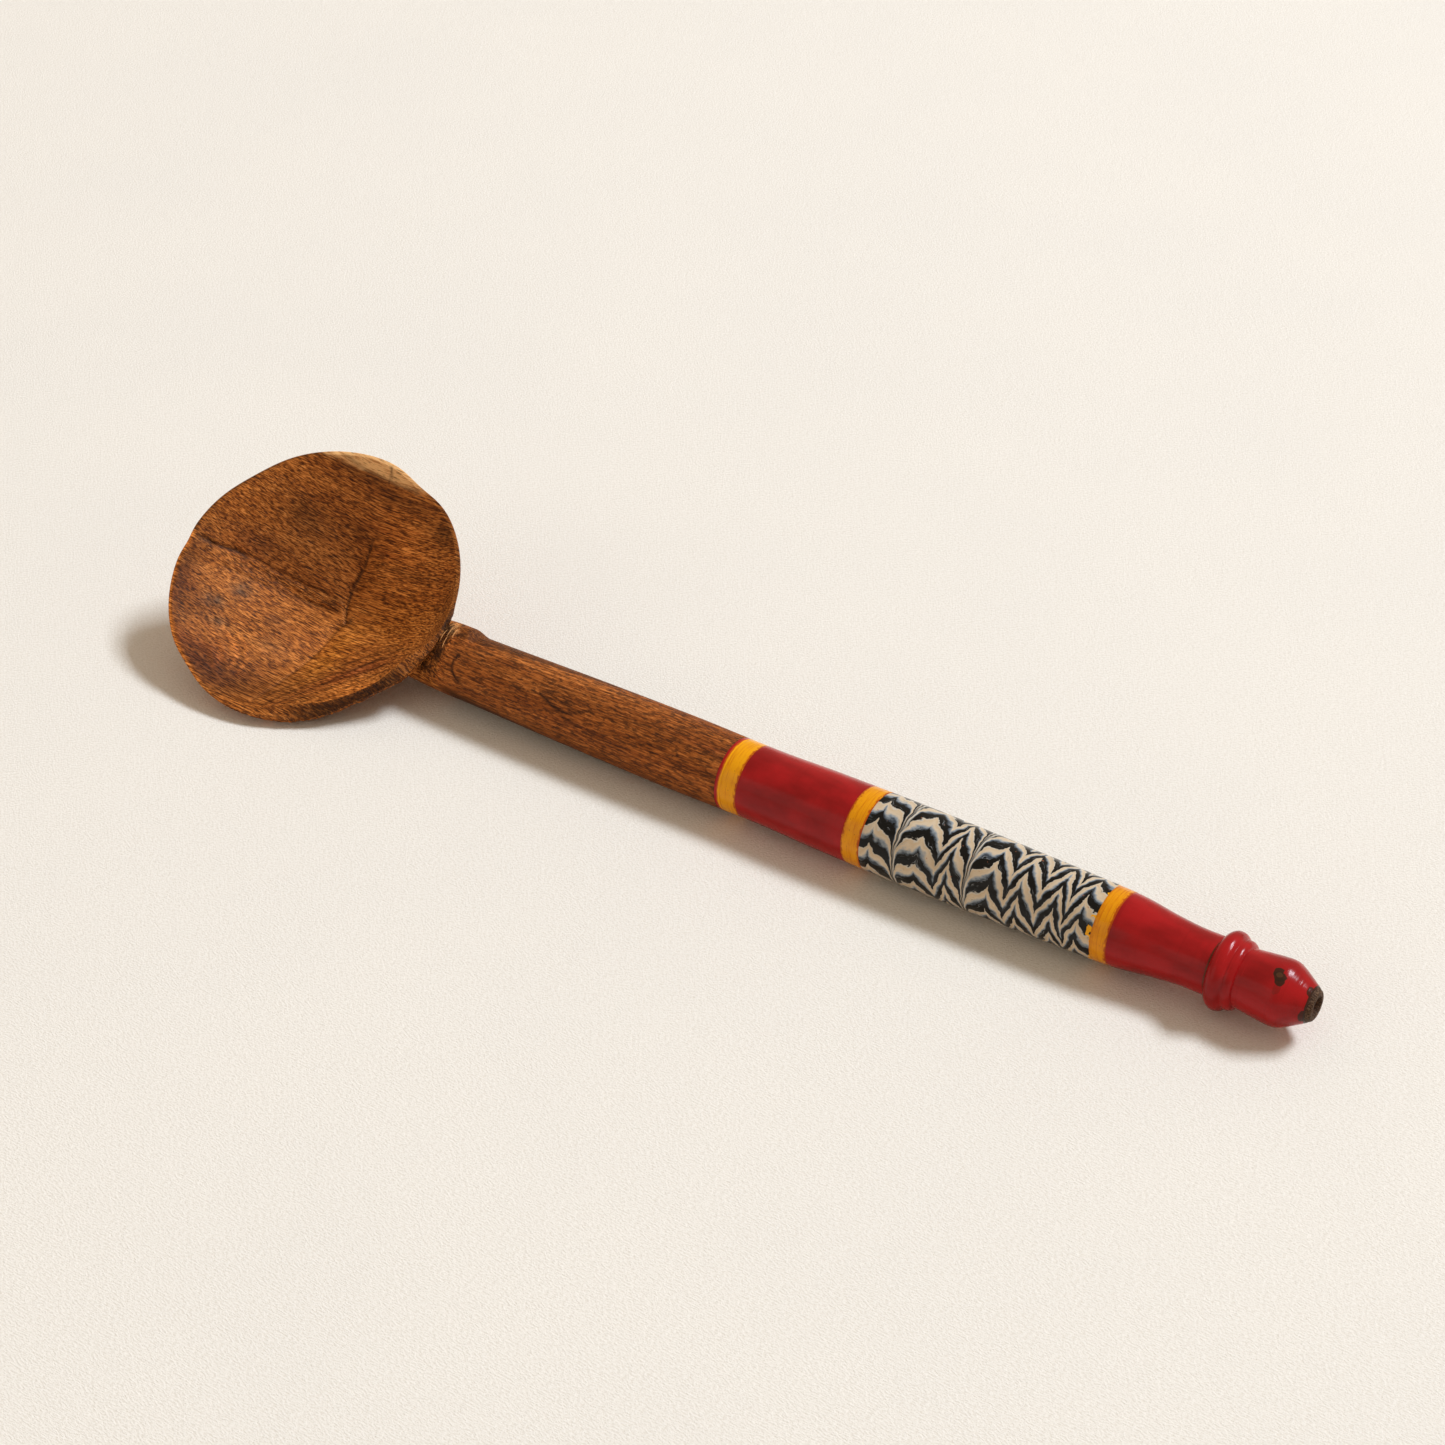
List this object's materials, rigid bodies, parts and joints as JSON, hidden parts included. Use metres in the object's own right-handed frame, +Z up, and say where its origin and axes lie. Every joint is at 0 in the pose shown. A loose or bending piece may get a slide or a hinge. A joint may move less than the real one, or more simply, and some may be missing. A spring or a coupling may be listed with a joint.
{
  "type": "lacquered wooden ladle",
  "caption": "Hand-carved wooden serving ladle with a shallow round bowl and a long turned handle coated in coloured lac bands, ending in a red beaded finial.",
  "frame": {"origin": "on the table, under the middle of the ladle's box as it lies at rest on the flank of its bowl", "axes": "+X along the handle from the bowl to the tip, +Z up from the table, and the bowl opens towards +Z and -Y"},
  "size_m": [0.3298, 0.07, 0.0462],
  "materials": {
    "wood": "bare oiled hardwood with carving marks and open pores",
    "lac_red": "burnished red lac, glossy",
    "lac_yellow": "burnished streaky yellow lac, glossy",
    "lac_combed": "black and cream lac dragged into a combed pattern, glossy"
  },
  "bodies": {
    "root": {"wooden_body": "wood", "lac_line_red": "lac_red", "lac_ring_yellow_neck": "lac_yellow", "lac_band_red": "lac_red", "lac_ring_yellow_middle": "lac_yellow", "lac_band_combed": "lac_combed", "lac_ring_yellow_end": "lac_yellow", "lac_finial_red": "lac_red"}
  },
  "joints": []
}
